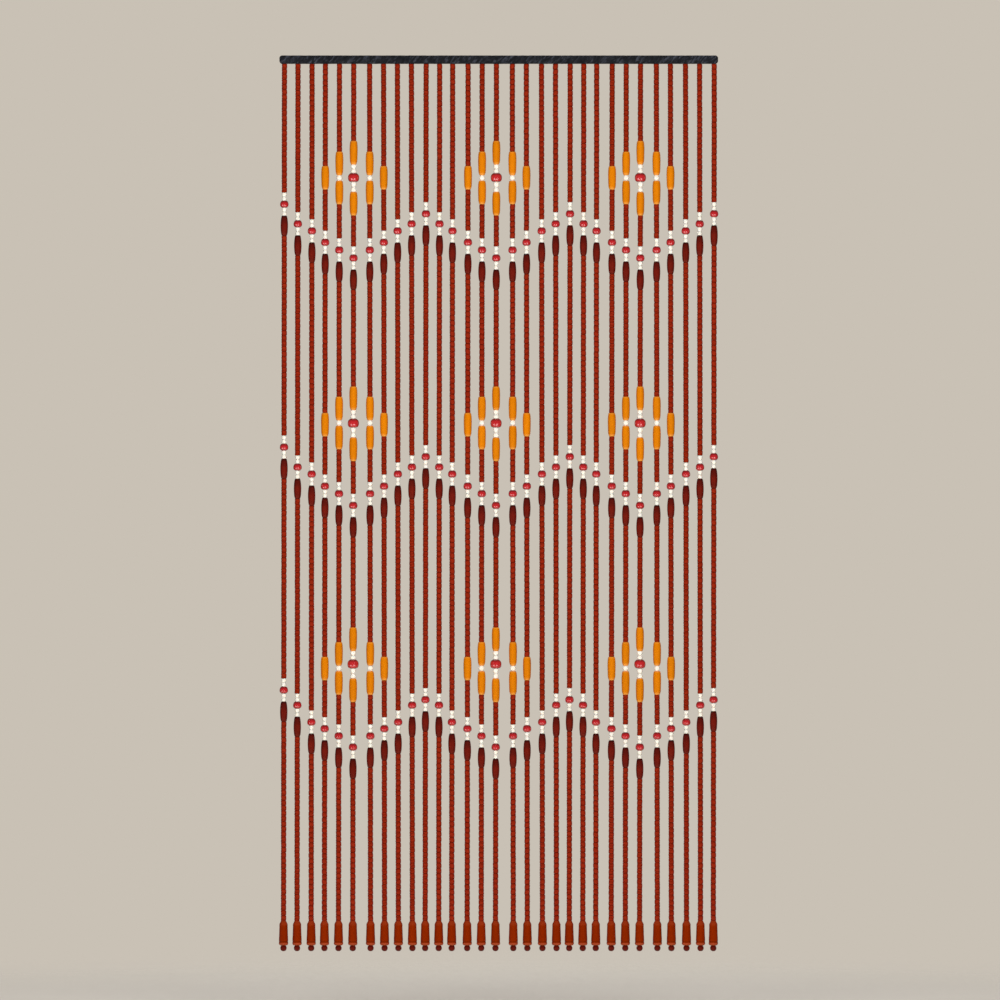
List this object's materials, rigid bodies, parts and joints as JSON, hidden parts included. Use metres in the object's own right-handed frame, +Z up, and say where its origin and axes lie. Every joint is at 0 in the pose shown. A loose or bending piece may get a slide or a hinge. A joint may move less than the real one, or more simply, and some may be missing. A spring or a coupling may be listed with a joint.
{
  "type": "bead curtain with header bar",
  "caption": "Hanging bead curtain: covered header bar with strands of twisted wooden, amber, crimson and white beads in zigzag rows and lozenge motifs, ending in bell beads.",
  "frame": {"origin": "middle of the header bar's flat top face", "axes": "+Z up, +X along the header bar to the right seen from the front, -Y towards the viewer"},
  "size_m": [0.8966, 0.0214, 1.8278],
  "materials": {
    "header_felt": "charcoal brushed felt, mottled",
    "red_wood": "lacquered red-brown turned wood",
    "amber_wood": "lacquered amber-stained turned wood",
    "burgundy_wood": "lacquered dark burgundy turned wood",
    "chestnut_wood": "satin chestnut turned wood",
    "crimson_lacquer": "glossy crimson lacquer on wood",
    "white_lacquer": "glossy ivory-white lacquer on wood",
    "cord": "dark red twisted threading cord"
  },
  "bodies": {
    "root": {"header_bar": "header_felt", "strand_01": "red_wood", "strand_02": "red_wood", "strand_03": "red_wood", "strand_04": "red_wood", "strand_05": "red_wood", "strand_06": "red_wood", "strand_07": "red_wood", "strand_08": "red_wood", "strand_09": "red_wood", "strand_10": "red_wood", "strand_11": "red_wood", "strand_12": "red_wood", "strand_13": "red_wood", "strand_14": "red_wood", "strand_15": "red_wood", "strand_16": "red_wood", "strand_17": "red_wood", "strand_18": "red_wood", "strand_19": "red_wood", "strand_20": "red_wood", "strand_21": "red_wood", "strand_22": "red_wood", "strand_23": "red_wood", "strand_24": "red_wood", "strand_25": "red_wood", "strand_26": "red_wood", "strand_27": "red_wood", "strand_28": "red_wood", "strand_29": "red_wood", "strand_30": "red_wood", "strand_31": "red_wood"}
  },
  "joints": []
}
